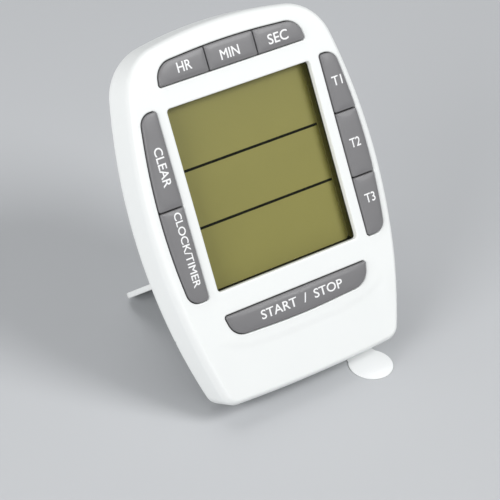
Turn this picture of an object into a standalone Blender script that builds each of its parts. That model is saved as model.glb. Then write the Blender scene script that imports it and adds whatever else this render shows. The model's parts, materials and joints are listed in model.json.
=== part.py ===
"""Three-channel bench timer, leaning back on its open fold-out stand.

Metres, +Z up, +X to the user's right, -Y towards the user.  The model is drawn in the
case's own frame (x across, depth from the front face to the back, height up the face)
and an empty tilts that frame back onto the bench.
"""
import math

import bmesh
import bpy
from mathutils import Matrix, Vector

MM = 0.001

# ---- driving dimensions, in millimetres ------------------------------------------
CASE_LENGTH = 96.5          # along the face
CASE_HALF_WIDTH = 35.75     # at the widest place
CASE_DEPTH = 14.1           # front face to back face
RECLINE = math.radians(33)  # how far the case leans back from upright

SIDE_RADIUS = 150.0
WIDEST_HEIGHT = 49.9
TOP_RADIUS = 120.0
BOTTOM_RADIUS = 450.0
TOP_CORNER = 14.0
BOTTOM_CORNER = 4.5

WALL = 1.6
FRONT_WALL = 1.8
FRONT_ROUND = 2.6
SEAM_DEPTH = 10.4           # rear edge of the front shell's side wall
GAP = 0.3                   # between pieces that touch
DOOR_HEIGHT = 20.0
BENCH_TRIM = 0.9            # how much of the sharp lower back corner is cut off flat

DISPLAY_HEIGHT = 54.5       # centre of the window
WINDOW_WIDTH = 44.8
WINDOW_LENGTH = 48.4
WINDOW_RECESS = 1.4         # how far the clear window lies behind the face

KEY_PROUD = 0.8
KEY_FLANGE_DEPTH = (2.1, 2.9)
KEY_FLANGE = 0.6
KEY_SPLIT = 0.3             # gap between neighbouring keys

BOARD_DEPTH = (7.5, 8.5)

CELL_RADIUS = 5.2
CELL_HEIGHT = 8.3
CELL_DEPTH = 7.25
CELL_ENDS = (-22.0, 21.5)
CELL_NUB = 22.5

HINGE_HEIGHT = 35.6
HINGE_DEPTH = CASE_DEPTH - 1.3
STAND_THICKNESS = 1.6
STAND_HALF_WIDTH = 23.6
STAND_SLOPE = math.radians(44.2)   # the open flap's fall below horizontal
STAND_POCKET = (34.15, 79.3)
STAND_POCKET_FLOOR = 11.2

TAB_X = 19.25
TAB_DEPTH = 10.35
TAB_THICKNESS = 0.2
TAB_HALF_WIDTH = 4.3
TAB_DISC_RADIUS = 6.0
TAB_DISC_REACH = 5.9        # disc centre ahead of the fold
TAB_FOLD_RADIUS = 1.5
TAB_LIFT = 0.1

SIN_R, COS_R = math.sin(RECLINE), math.cos(RECLINE)

# Height of the case's front lower corner above the bench, and of the stand's hinge.
FRONT_CORNER_Z = CASE_DEPTH * SIN_R - BENCH_TRIM
HINGE_Z = FRONT_CORNER_Z + HINGE_HEIGHT * COS_R - HINGE_DEPTH * SIN_R
STAND_REACH = (HINGE_Z - STAND_THICKNESS / 2) / math.sin(STAND_SLOPE)

# Depth and inset of the back's rounded edge, from the seam to the flat back face.
BACK_EDGE = [(SEAM_DEPTH + GAP, 0.3), (12.0, 0.9), (13.1, 1.9), (13.8, 2.9), (CASE_DEPTH, 4.0)]

# The front-to-back extent runs from the pull tab's disc to the case's top back edge.
FOLD_HEIGHT = (TAB_DEPTH * SIN_R - FRONT_CORNER_Z + TAB_LIFT + TAB_THICKNESS / 2) / COS_R
FOLD_REACH = FOLD_HEIGHT * SIN_R + TAB_DEPTH * COS_R
FRONT_EXTENT = FOLD_REACH - TAB_DISC_REACH - TAB_DISC_RADIUS
BACK_EXTENT = max((CASE_LENGTH - inset) * SIN_R + depth * COS_R for depth, inset in BACK_EDGE)
FRONT_CORNER_Y = -(FRONT_EXTENT + BACK_EXTENT) / 2


# ---- scene and materials -----------------------------------------------------------
def clear_scene():
    for item in list(bpy.data.objects):
        bpy.data.objects.remove(item, do_unlink=True)


def material(name, colour, roughness, metallic=0.0, alpha=1.0):
    made = bpy.data.materials.new(name)
    made.use_nodes = True
    shader = made.node_tree.nodes["Principled BSDF"]
    shader.inputs["Base Color"].default_value = (*colour, 1.0)
    shader.inputs["Roughness"].default_value = roughness
    shader.inputs["Metallic"].default_value = metallic
    shader.inputs["Alpha"].default_value = alpha
    return made


# ---- plane outlines, as (x, height) points, anticlockwise seen from the front ------
def arc(centre, radius, start, end, steps):
    """Points along an arc, both ends included; angles in radians."""
    turn = [start + (end - start) * i / steps for i in range(steps + 1)]
    return [(centre[0] + radius * math.cos(a), centre[1] + radius * math.sin(a)) for a in turn]


def meet(centre_a, radius_a, centre_b, radius_b):
    """Where two circles cross, taking the crossing on the right."""
    ax, ay = centre_a
    bx, by = centre_b
    gap = math.hypot(bx - ax, by - ay)
    along = (radius_a ** 2 - radius_b ** 2 + gap ** 2) / (2 * gap)
    off = math.sqrt(max(radius_a ** 2 - along ** 2, 0.0))
    ux, uy = (bx - ax) / gap, (by - ay) / gap
    middle = (ax + along * ux, ay + along * uy)
    options = [(middle[0] - off * uy, middle[1] + off * ux),
               (middle[0] + off * uy, middle[1] - off * ux)]
    return max(options)


def angle_to(centre, point):
    return math.atan2(point[1] - centre[1], point[0] - centre[0])


def case_outline(inset, bottom_inset=None):
    """The case's barrel outline drawn inwards by inset: four arcs and four round corners."""
    low = inset if bottom_inset is None else bottom_inset
    side = (CASE_HALF_WIDTH - SIDE_RADIUS, WIDEST_HEIGHT)
    top = (0.0, CASE_LENGTH - TOP_RADIUS)
    base = (0.0, BOTTOM_RADIUS)
    side_r, top_r, base_r = SIDE_RADIUS - inset, TOP_RADIUS - inset, BOTTOM_RADIUS - low
    low_corner, high_corner = BOTTOM_CORNER - inset, TOP_CORNER - inset
    low_centre = meet(side, side_r - low_corner, base, base_r - low_corner)
    high_centre = meet(side, side_r - high_corner, top, top_r - high_corner)
    low_side, high_side = angle_to(side, low_centre), angle_to(side, high_centre)
    low_base, high_top = angle_to(base, low_centre), angle_to(top, high_centre)
    right = arc(base, base_r, -math.pi / 2, low_base, 3)[:-1]
    right += arc(low_centre, low_corner, low_base, low_side, 6)[:-1]
    right += arc(side, side_r, low_side, high_side, 12)[:-1]
    right += arc(high_centre, high_corner, high_side, high_top, 8)[:-1]
    right += arc(top, top_r, high_top, math.pi / 2, 4)
    left = [(-x, h) for x, h in reversed(right[1:-1])]
    return right + left


def rounded(corners, steps=6):
    """A polygon of (x, height, radius) corners with each corner rounded."""
    points = []
    count = len(corners)
    for i, (x, h, radius) in enumerate(corners):
        before, after = corners[i - 1], corners[(i + 1) % count]
        here = Vector((x, h))
        to_before = (Vector(before[:2]) - here).normalized()
        to_after = (Vector(after[:2]) - here).normalized()
        half = to_before.angle(to_after) / 2
        bisector = (to_before + to_after).normalized()
        centre = here + bisector * (radius / math.sin(half))
        first = here + to_before * (radius / math.tan(half))
        last = here + to_after * (radius / math.tan(half))
        start = angle_to(centre, first)
        sweep = (angle_to(centre, last) - start + math.pi) % (2 * math.pi) - math.pi
        points += arc(centre, radius, start, start + sweep, steps)
    return points


def grown(points, distance):
    """A convex outline moved outwards by distance (inwards if negative)."""
    moved = []
    for i, point in enumerate(points):
        here, before, after = Vector(point), Vector(points[i - 1]), Vector(points[(i + 1) % len(points)])
        edge_in, edge_out = (here - before).normalized(), (after - here).normalized()
        normal_in, normal_out = Vector((edge_in.y, -edge_in.x)), Vector((edge_out.y, -edge_out.x))
        both = (normal_in + normal_out).normalized()
        moved.append(tuple(here + both * (distance / max(both.dot(normal_in), 0.5))))
    return moved


def clipped(points, axis, limit, keep_above):
    """The part of a convex outline on one side of a line across x (0) or height (1)."""
    kept = []
    for i, point in enumerate(points):
        before = points[i - 1]
        inside = (point[axis] > limit) == keep_above
        was_inside = (before[axis] > limit) == keep_above
        if inside != was_inside:
            share = (limit - before[axis]) / (point[axis] - before[axis])
            kept.append(tuple(before[k] + share * (point[k] - before[k]) for k in (0, 1)))
        if inside:
            kept.append(point)
    return kept


# ---- solids --------------------------------------------------------------------------
def place(x, depth, height):
    """A point of the case's frame, from millimetres to the empty's metres."""
    return Vector((x, depth, height)) * MM


def finish_mesh(name, build, surface, smooth_angle=35):
    bmesh.ops.recalc_face_normals(build, faces=build.faces)
    mesh = bpy.data.meshes.new(name)
    build.to_mesh(mesh)
    build.free()
    mesh.shade_smooth()
    mesh.set_sharp_from_angle(angle=math.radians(smooth_angle))
    made = bpy.data.objects.new(name, mesh)
    bpy.context.scene.collection.objects.link(made)
    mesh.materials.append(surface)
    return made


def loft(name, rings, surface):
    """A closed solid through rings of equal length, capped at both ends."""
    build = bmesh.new()
    loops = [[build.verts.new(point) for point in ring] for ring in rings]
    count = len(loops[0])
    for low, high in zip(loops, loops[1:]):
        for i in range(count):
            build.faces.new((low[i - 1], low[i], high[i], high[i - 1]))
    build.faces.new(loops[0])
    build.faces.new(loops[-1])
    return finish_mesh(name, build, surface)


def ring(outline, depth):
    return [place(x, depth, height) for x, height in outline]


def prism(name, outline, front, back, surface):
    return loft(name, [ring(outline, front), ring(outline, back)], surface)


def box(name, x, depth, height, surface):
    outline = [(x[0], height[0]), (x[1], height[0]), (x[1], height[1]), (x[0], height[1])]
    return prism(name, outline, depth[0], depth[1], surface)


def disc(name, centre, radius, depth, surface, sides=24):
    outline = arc(centre, radius, 0, 2 * math.pi, sides)[:-1]
    return prism(name, outline, depth[0], depth[1], surface)


def turned(name, centre, profile, surface, sides=24, axis="depth"):
    """A turned solid: profile is (position along the axis, radius) pairs."""
    rings = []
    for along, radius in profile:
        circle = arc((0, 0), radius, 0, 2 * math.pi, sides)[:-1]
        if axis == "depth":
            rings.append([place(centre[0] + a, along, centre[1] + b) for a, b in circle])
        else:
            rings.append([place(along, centre[0] + a, centre[1] + b) for a, b in circle])
    return loft(name, rings, surface)


def combine(target, tool, operation):
    """Join a tool to the target, or cut it out, and drop the tool."""
    change = target.modifiers.new(operation.title(), "BOOLEAN")
    change.operation = operation
    change.solver = "EXACT"
    change.object = tool
    result = bpy.data.meshes.new_from_object(target.evaluated_get(bpy.context.evaluated_depsgraph_get()))
    target.modifiers.clear()
    old, target.data = target.data, result
    bpy.data.meshes.remove(old)
    bpy.data.objects.remove(tool, do_unlink=True)
    result.shade_smooth()
    result.set_sharp_from_angle(angle=math.radians(35))
    return target


def add(target, tool):
    return combine(target, tool, "UNION")


def cut(target, tool):
    return combine(target, tool, "DIFFERENCE")


def wire(name, points, radius, surface):
    """A round wire through points of the case's frame."""
    curve = bpy.data.curves.new(name, "CURVE")
    curve.dimensions = "3D"
    curve.bevel_depth = radius * MM
    curve.bevel_resolution = 2
    curve.use_fill_caps = True
    spline = curve.splines.new("POLY")
    spline.points.add(len(points) - 1)
    for target, point in zip(spline.points, points):
        target.co = (*place(*point), 1.0)
    made = bpy.data.objects.new(name, curve)
    bpy.context.scene.collection.objects.link(made)
    curve.materials.append(surface)
    return made


def soft_route(corners, samples=5):
    """Points on a smooth curve through a wire's corners."""
    ends = [corners[0]] + list(corners) + [corners[-1]]
    route = []
    for i in range(1, len(ends) - 2):
        a, b, c, d = (Vector(ends[i + k]) for k in (-1, 0, 1, 2))
        for step in range(samples):
            t = step / samples
            route.append((b * 2 + (c - a) * t + (a * 2 - b * 5 + c * 4 - d) * t ** 2
                          + (b * 3 - a - c * 3 + d) * t ** 3) / 2)
    return route + [Vector(corners[-1])]


# ---- key outlines, heights measured from the window's centre -------------------------
TOP_KEYS = [(-22.9, 29.8, 0.8), (22.9, 29.8, 0.8), (22.0, 35.8, 5.0), (0.0, 37.2, 200.0), (-22.0, 35.8, 5.0)]
BOTTOM_KEY = [(-21.4, -36.6, 5.0), (0.0, -37.6, 200.0), (21.4, -36.6, 5.0), (22.9, -30.4, 0.8),
              (-22.9, -30.4, 0.8)]
RIGHT_KEYS = [(25.5, -25.0, 1.0), (31.2, -25.0, 3.5), (34.1, -1.2, 150.0), (30.4, 25.0, 3.5),
              (25.5, 25.0, 1.0)]
TOP_SPLIT = 7.6             # either side of the middle
RIGHT_SPLIT = 8.8


def key_group(corners, mirrored=False):
    raised = [(x, h + DISPLAY_HEIGHT, r) for x, h, r in corners]
    outline = rounded(raised)
    if mirrored:
        outline = [(-x, h) for x, h in reversed(outline)]
    return outline


def one_key(name, group, axis, low, high, surface):
    """A round-edged key cut from its group, with a flange behind the front wall."""
    def share(outline):
        if low is not None:
            outline = clipped(outline, axis, low + KEY_SPLIT / 2, True)
        if high is not None:
            outline = clipped(outline, axis, high - KEY_SPLIT / 2, False)
        return outline

    face = share(grown(group, -0.25))
    rings = [ring(grown(face, -0.45), -KEY_PROUD)]
    rings += [ring(grown(face, -0.15), -KEY_PROUD + 0.2)]
    rings += [ring(face, -KEY_PROUD + 0.6), ring(face, KEY_FLANGE_DEPTH[0] + 0.2)]
    key = loft(name, rings, surface)
    flange = prism(name + "_flange", share(grown(group, KEY_FLANGE)), *KEY_FLANGE_DEPTH, surface)
    return add(key, flange)


def rubber_pad(name, x, height, domes, surface):
    """A silicone sheet on the board with a blunt dome under each key."""
    pad = box(name, x, (6.6, 7.2), height, surface)
    for centre in domes:
        add(pad, turned(name + "_dome", centre, [(3.2, 1.5), (4.4, 1.9), (6.9, 2.4)], surface, 16))
    return pad


# ---- sub-parts -------------------------------------------------------------------------
CASE_SCREWS = {"case_screw_top_left": (-26.2, 83.6), "case_screw_top_right": (26.2, 83.6),
               "case_screw_bottom_left": (-27.5, 24.6), "case_screw_bottom_right": (27.5, 24.6)}
BOARD_SCREWS = {"board_screw_left": (-20.0, 26.4), "board_screw_right": (20.0, 26.4)}
BUZZER = (0.0, 87.2)
MAGNETS = {"magnet_left": (-16.5, 85.6), "magnet_right": (16.5, 85.6)}


def rectangle(width, length, corner=1.0):
    half, up = width / 2, length / 2
    low, high = DISPLAY_HEIGHT - up, DISPLAY_HEIGHT + up
    corners = [(-half, low), (half, low), (half, high), (-half, high)]
    return rounded([(x, h, corner) for x, h in corners], 4)


def make_front_shell(surface, groups):
    rings = []
    for step in range(6):
        turn = math.pi / 2 * step / 5
        inset = FRONT_ROUND * (1 - math.sin(turn))
        rings.append(ring(case_outline(inset), FRONT_ROUND * (1 - math.cos(turn))))
    rings += [ring(case_outline(0), SEAM_DEPTH), ring(case_outline(WALL), SEAM_DEPTH)]
    rings += [ring(case_outline(WALL), FRONT_WALL)]
    shell = loft("front_shell", rings, surface)
    ribs = {"partition": ((-22.4, 22.4), (1.0, 12.2), (14.3, 15.2)),
            "plus_end": ((23.7, 24.9), (1.4, 10.2), (3.0, 15.0)),
            "minus_end": ((-26.6, -25.6), (1.4, 10.2), (3.0, 15.0))}
    for name, (x, depth, height) in ribs.items():
        add(shell, box(name, x, depth, height, surface))
    for centre in CASE_SCREWS.values():
        add(shell, disc("post", centre, 2.2, (1.0, SEAM_DEPTH), surface, 20))
        cut(shell, disc("bore", centre, 1.05, (4.0, SEAM_DEPTH + 1), surface, 16))
    for centre in BOARD_SCREWS.values():
        add(shell, disc("post", centre, 1.3, (1.0, 7.2), surface, 16))
        cut(shell, disc("bore", centre, 0.7, (3.2, 8.0), surface, 12))
    for outline in groups:
        cut(shell, prism("opening", outline, -2.0, 3.0, surface))
    cut(shell, prism("window", rectangle(WINDOW_WIDTH, WINDOW_LENGTH), -2.0, 3.0, surface))
    slit = ((TAB_X - TAB_HALF_WIDTH - GAP, TAB_X + TAB_HALF_WIDTH + GAP), (10.0, 12.0), (-1.0, 3.0))
    cut(shell, box("slit", *slit, surface))
    return shell


def back_cup(name, surface):
    """The whole back of the case: a shallow cup whose rim meets the front shell."""
    front = SEAM_DEPTH + GAP
    outer = [ring(case_outline(inset, 0.3), depth) for depth, inset in BACK_EDGE]
    floor = CASE_DEPTH - 1.2
    inner = [ring(case_outline(3.6, 1.8), floor), ring(case_outline(2.3, 1.8), 11.8),
             ring(case_outline(1.8, 1.8), front)]
    return loft(name, outer[::-1] + inner[::-1], surface)


def below_door_line(name, surface):
    return box(name, (-50, 50), (0, 30), (-5, DOOR_HEIGHT - GAP / 2), surface)


def make_back_shell(surface):
    shell = back_cup("back_shell", surface)
    cut(shell, box("door_region", (-50, 50), (0, 30), (-5, DOOR_HEIGHT + GAP / 2), surface))
    low, high = STAND_POCKET
    add(shell, box("tub", (-25.6, 25.6), (STAND_POCKET_FLOOR - 1.2, 13.2), (low - 1.3, high + 1.2), surface))
    pocket = rounded([(-24.2, low, 0.4), (24.2, low, 0.4), (24.2, high, 6.0), (-24.2, high, 6.0)])
    cut(shell, prism("pocket", pocket, STAND_POCKET_FLOOR, 16, surface))
    cut(shell, box("thumb", (-7, 7), (13.4, 16), (high - 1, high + 3.4), surface))
    pin_hole = [(-25.3, 1.08), (25.3, 1.08)]
    cut(shell, turned("pin_hole", (HINGE_DEPTH, HINGE_HEIGHT), pin_hole, surface, 16, "across"))
    for centre in CASE_SCREWS.values():
        add(shell, disc("boss", centre, 2.9, (SEAM_DEPTH + GAP, 13.2), surface, 20))
        cut(shell, disc("bore", centre, 1.2, (5, 20), surface, 16))
        cut(shell, disc("head_seat", centre, 2.25, (12.4, 20), surface, 20))
    for centre in MAGNETS.values():
        add(shell, disc("cup", centre, 5.7, (10.9, 13.2), surface, 24))
        cut(shell, disc("seat", centre, 4.8, (11.9, 20), surface, 24))
    add(shell, disc("buzzer_seat", BUZZER, 5.0, (12.5, 13.0), surface, 24))
    cut(shell, disc("buzzer_room", BUZZER, 4.2, (12.0, CASE_DEPTH - 1.2), surface, 24))
    cut(shell, disc("sound_hole", BUZZER, 1.2, (10, 20), surface, 16))
    return shell


def make_battery_door(surface):
    door = back_cup("battery_door", surface)
    combine(door, below_door_line("door_region", surface), "INTERSECT")
    for x in ((-28.2, -24.6), (24.6, 28.2)):
        add(door, box("tongue", x, (11.8, 12.6), (17.4, 21.3), surface))
        add(door, box("riser", x, (12.3, 13.3), (17.4, 19.4), surface))
    trim = box("bench_cut", (-50, 50), (-60, 60), (-20, 0), surface)
    bench = Matrix.Translation(place(0, 0, -FRONT_CORNER_Z / COS_R)) @ Matrix.Rotation(RECLINE, 4, "X")
    trim.data.transform(bench)
    return cut(door, trim)


def make_display(materials):
    lens = prism("display_window", rectangle(WINDOW_WIDTH - 0.5, WINDOW_LENGTH - 0.5, 0.8),
                 WINDOW_RECESS, 2.3, materials["lens"])
    add(lens, prism("lens_flange", rectangle(47.6, 52.4), 2.1, 2.7, materials["lens"]))
    frame = prism("display_frame", rectangle(48.2, 52.8), 3.0, 7.2, materials["black"])
    cut(frame, prism("view", rectangle(43.4, 48.2, 0.8), 2.0, 4.0, materials["black"]))
    cut(frame, prism("room", rectangle(46.6, 51.6, 0.5), 3.6, 8.0, materials["black"]))
    panel = prism("display_panel", rectangle(46.0, 51.0, 0.5), 3.9, 5.6, materials["display"])
    made = [lens, frame, panel]
    for name, side in (("contact_strip_upper", 1), ("contact_strip_lower", -1)):
        middle = DISPLAY_HEIGHT + side * 24.2
        made.append(box(name, (-21, 21), (5.9, 7.2), (middle - 0.8, middle + 0.8), materials["strip"]))
    return made


def make_board(materials):
    outline = [(-24, 15.8), (24, 15.8), (24, 28), (30.4, 28), (30.4, 80.8), (22.5, 80.8), (22.5, 91.4),
               (-22.5, 91.4), (-22.5, 80.8), (-30.4, 80.8), (-30.4, 28), (-24, 28)]
    board = prism("circuit_board", outline, *BOARD_DEPTH, materials["board"])
    for centre in BOARD_SCREWS.values():
        cut(board, disc("hole", centre, 0.9, (6, 10), materials["board"], 12))
    blob = turned("controller_chip", (-2.0, 52.0), [(8.7, 5.5), (9.2, 5.0), (9.6, 3.2)],
                  materials["epoxy"], 20)
    crystal = turned("clock_crystal", (9.75, 29.2), [(8.0, 0.95), (13.5, 0.95), (14.0, 0.6)],
                     materials["steel"], 16, "across")
    return [board, blob, crystal]


def make_keys(materials):
    top, bottom = key_group(TOP_KEYS), key_group(BOTTOM_KEY)
    right, left = key_group(RIGHT_KEYS), key_group(RIGHT_KEYS, mirrored=True)
    grey = materials["key"]
    middle = DISPLAY_HEIGHT
    shares = {"key_hours": (top, 0, None, -TOP_SPLIT), "key_minutes": (top, 0, -TOP_SPLIT, TOP_SPLIT),
              "key_seconds": (top, 0, TOP_SPLIT, None), "key_start_stop": (bottom, 0, None, None),
              "key_clear": (left, 1, middle, None), "key_clock_timer": (left, 1, None, middle),
              "key_channel_1": (right, 1, middle + RIGHT_SPLIT, None),
              "key_channel_2": (right, 1, middle - RIGHT_SPLIT, middle + RIGHT_SPLIT),
              "key_channel_3": (right, 1, None, middle - RIGHT_SPLIT)}
    keys = [one_key(name, *share, grey) for name, share in shares.items()]
    rubber = materials["rubber"]
    above, below = middle + 33.5, middle - 33.9
    pads = [rubber_pad("keypad_top", (-22.3, 22.3), (84.8, 91.2), [(x, above) for x in (-15, 0, 15)], rubber),
            rubber_pad("keypad_bottom", (-22, 22), (17.2, 24.4), [(x, below) for x in (-9, 9)], rubber),
            rubber_pad("keypad_right", (25.0, 30.2), (30.2, 80.4),
                       [(27.7, middle + h) for h in (-16.5, 0, 16.5)], rubber),
            rubber_pad("keypad_left", (-30.2, -25.0), (30.2, 80.4),
                       [(-27.7, middle + h) for h in (-12.5, 12.5)], rubber)]
    return keys + pads


def make_buzzer(materials):
    made = [turned("buzzer_disc", BUZZER, [(11.8, 5.2), (12.2, 5.2)], materials["brass"])]
    for name, x in (("buzzer_wire_red", 2.2), ("buzzer_wire_black", -2.2)):
        corners = [(x, 11.1, 85.2), (x, 10.6, 83.6), (x * 1.4, 9.6, 82.3), (x * 1.4, 9.2, 81.9)]
        made.append(wire(name, soft_route(corners, 3), 0.35, materials[name.split("_")[-1]]))
    return made


def make_battery(materials):
    low, high = CELL_ENDS
    axis = (CELL_DEPTH, CELL_HEIGHT)
    profile = [(low, 4.6), (low + 0.5, CELL_RADIUS), (high - 0.5, CELL_RADIUS), (high, 4.6),
               (high + 0.01, 1.9), (CELL_NUB, 1.7)]
    cell = turned("battery_cell", axis, profile, materials["cell"], 32, "across")
    plus = box("positive_contact", (23.0, 23.4), (4.5, 10.0), (4.4, 13.0), materials["steel"])
    minus = box("negative_contact", (-25.3, -24.9), (4.2, 10.3), (4.4, 13.0), materials["steel"])
    turns = 2.5
    coil = []
    for step in range(int(turns * 14) + 1):
        share = step / (turns * 14)
        turn, radius = share * turns * 2 * math.pi, 3.2 - 1.4 * share
        along = -24.35 + 1.75 * share
        coil.append((along, CELL_DEPTH + radius * math.cos(turn), CELL_HEIGHT + radius * math.sin(turn)))
    spring = wire("negative_spring", coil, 0.3, materials["steel"])
    red = [(23.2, 8.6, 13.5), (23.2, 9.0, 15.4), (22.8, 9.3, 17.6), (21.6, 9.2, 18.6)]
    black = [(-25.1, 8.6, 13.5), (-24.8, 9.0, 15.4), (-23.4, 9.3, 17.6), (-21.6, 9.2, 18.6)]
    wires = [wire("battery_wire_red", soft_route(red, 3), 0.4, materials["red"]),
             wire("battery_wire_black", soft_route(black, 3), 0.4, materials["black"])]
    return [cell, plus, minus, spring] + wires


def make_fasteners(materials):
    made = []
    for name, centre in CASE_SCREWS.items():
        profile = [(5.0, 0.5), (5.8, 0.95), (12.7, 0.95), (12.71, 1.95), (13.4, 1.85), (13.7, 1.4)]
        made.append(turned(name, centre, profile, materials["steel"], 16))
    for name, centre in BOARD_SCREWS.items():
        profile = [(4.0, 0.4), (4.6, 0.6), (8.8, 0.6), (8.81, 1.5), (9.4, 1.3)]
        made.append(turned(name, centre, profile, materials["steel"], 12))
    for name, centre in MAGNETS.items():
        made.append(disc(name, centre, 4.5, (12.2, CASE_DEPTH), materials["magnet"], 24))
    return made


def make_pull_tab(surface):
    """A folded strip of film: up between cell and contact, out of the slit, disc on the bench."""
    half = TAB_THICKNESS / 2
    run = TAB_FOLD_RADIUS * math.tan((math.pi / 2 - RECLINE) / 2)
    stations = [(TAB_DEPTH, 10.8, 0.0, (21.9, 23.5)), (TAB_DEPTH, 2.7, 0.0, (21.9, 23.5))]
    wide = (TAB_X - TAB_HALF_WIDTH, TAB_X + TAB_HALF_WIDTH)
    stations += [(TAB_DEPTH, 2.6, 0.0, wide)]
    turn_total = math.pi / 2 - RECLINE
    centre = (TAB_DEPTH - TAB_FOLD_RADIUS, FOLD_HEIGHT + run)
    for step in range(7):
        turn = turn_total * step / 6
        depth = centre[0] + TAB_FOLD_RADIUS * math.cos(turn)
        height = centre[1] - TAB_FOLD_RADIUS * math.sin(turn)
        stations.append((depth, height, turn, wide))
    circle_start = TAB_DISC_REACH - math.sqrt(TAB_DISC_RADIUS ** 2 - TAB_HALF_WIDTH ** 2)
    reaches = [TAB_DISC_REACH - TAB_DISC_RADIUS * math.cos(math.pi * k / 16) for k in range(17)]
    for reach in reaches:
        if reach <= max(circle_start, run):
            continue
        width = math.sqrt(max(TAB_DISC_RADIUS ** 2 - (reach - TAB_DISC_REACH) ** 2, 0.16))
        place_on = (TAB_DEPTH - reach * COS_R, FOLD_HEIGHT - reach * SIN_R)
        stations.append((*place_on, turn_total, (TAB_X - width, TAB_X + width)))
    rings = []
    for depth, height, turn, (left, right) in stations:
        across = (math.cos(turn) * half, -math.sin(turn) * half)
        rings.append([place(left, depth - across[0], height - across[1]),
                      place(right, depth - across[0], height - across[1]),
                      place(right, depth + across[0], height + across[1]),
                      place(left, depth + across[0], height + across[1])])
    tab = loft("pull_tab", rings, surface)
    return add(tab, box("ear", (22.65, 22.85), (5.2, TAB_DEPTH), (6.6, 10.2), surface))


def make_stand(surface):
    """The flap, drawn along +Z from its hinge line at the origin, then swung open."""
    half = STAND_THICKNESS / 2
    reach = STAND_REACH + half
    corners = [(-STAND_HALF_WIDTH, -half, 0.6), (STAND_HALF_WIDTH, -half, 0.6),
               (STAND_HALF_WIDTH - 1.0, reach, 6.5), (-STAND_HALF_WIDTH + 1.0, reach, 6.5)]
    outline = rounded(corners, 8)
    sides = [(-half, 0.5), (-half * 0.4, 0.0), (half * 0.4, 0.0), (half, 0.5)]
    rings = [ring(grown(outline, -inset), depth) for depth, inset in sides]
    flap = loft("stand", rings, surface)
    add(flap, turned("pin", (0, 0), [(-24.9, 1.0), (24.9, 1.0)], surface, 16, "across"))
    cut(flap, box("grip", (-6, 6), (half - 0.5, half + 2), (reach - 6.5, reach - 2.5), surface))
    flap.location = place(0, HINGE_DEPTH, HINGE_HEIGHT)
    flap.rotation_euler = (-(math.pi / 2 - RECLINE) - STAND_SLOPE, 0, 0)
    return flap


def build():
    clear_scene()
    materials = {
        "white": material("white_abs", (0.86, 0.87, 0.86), 0.28),
        "key": material("grey_key", (0.24, 0.24, 0.26), 0.42),
        "lens": material("clear_window", (0.9, 0.95, 0.9), 0.05, 0.0, 0.25),
        "display": material("display_panel", (0.33, 0.30, 0.12), 0.2),
        "black": material("black_plastic", (0.02, 0.02, 0.02), 0.5),
        "strip": material("contact_rubber", (0.75, 0.75, 0.78), 0.7),
        "board": material("circuit_board", (0.03, 0.16, 0.06), 0.5),
        "epoxy": material("black_epoxy", (0.01, 0.01, 0.01), 0.3),
        "rubber": material("silicone_rubber", (0.55, 0.56, 0.58), 0.8),
        "steel": material("nickel_steel", (0.62, 0.62, 0.60), 0.3, 1.0),
        "brass": material("brass_disc", (0.72, 0.55, 0.25), 0.35, 1.0),
        "cell": material("cell_jacket", (0.08, 0.09, 0.12), 0.35),
        "magnet": material("magnet_nickel", (0.55, 0.55, 0.56), 0.25, 1.0),
        "red": material("red_wire", (0.55, 0.03, 0.03), 0.5),
        "film": material("tab_film", (0.88, 0.89, 0.88), 0.35),
    }
    white = materials["white"]
    groups = [key_group(TOP_KEYS), key_group(BOTTOM_KEY), key_group(RIGHT_KEYS), key_group(RIGHT_KEYS, True)]
    made = [make_front_shell(white, groups), make_back_shell(white), make_battery_door(white)]
    made += make_display(materials) + make_board(materials) + make_keys(materials)
    made += make_buzzer(materials) + make_battery(materials) + make_fasteners(materials)
    made += [make_pull_tab(materials["film"]), make_stand(white)]

    case_frame = bpy.data.objects.new("case_frame", None)
    bpy.context.scene.collection.objects.link(case_frame)
    case_frame.location = Vector((0, FRONT_CORNER_Y, FRONT_CORNER_Z)) * MM
    case_frame.rotation_euler = (-RECLINE, 0, 0)
    for piece in made:
        piece.parent = case_frame
    bpy.context.view_layer.update()


build()
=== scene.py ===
"""Visual model of a three-channel bench timer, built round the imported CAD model.

Shapes are drawn in the case's own frame, in millimetres: x across, depth from the front
face to the back, height up the face.  place() turns such a point into world metres.
"""
import json
import math

import bmesh
import bpy
import numpy as np
from mathutils import Matrix, Vector
from mathutils.bvhtree import BVHTree
from mathutils.geometry import delaunay_2d_cdt

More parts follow.
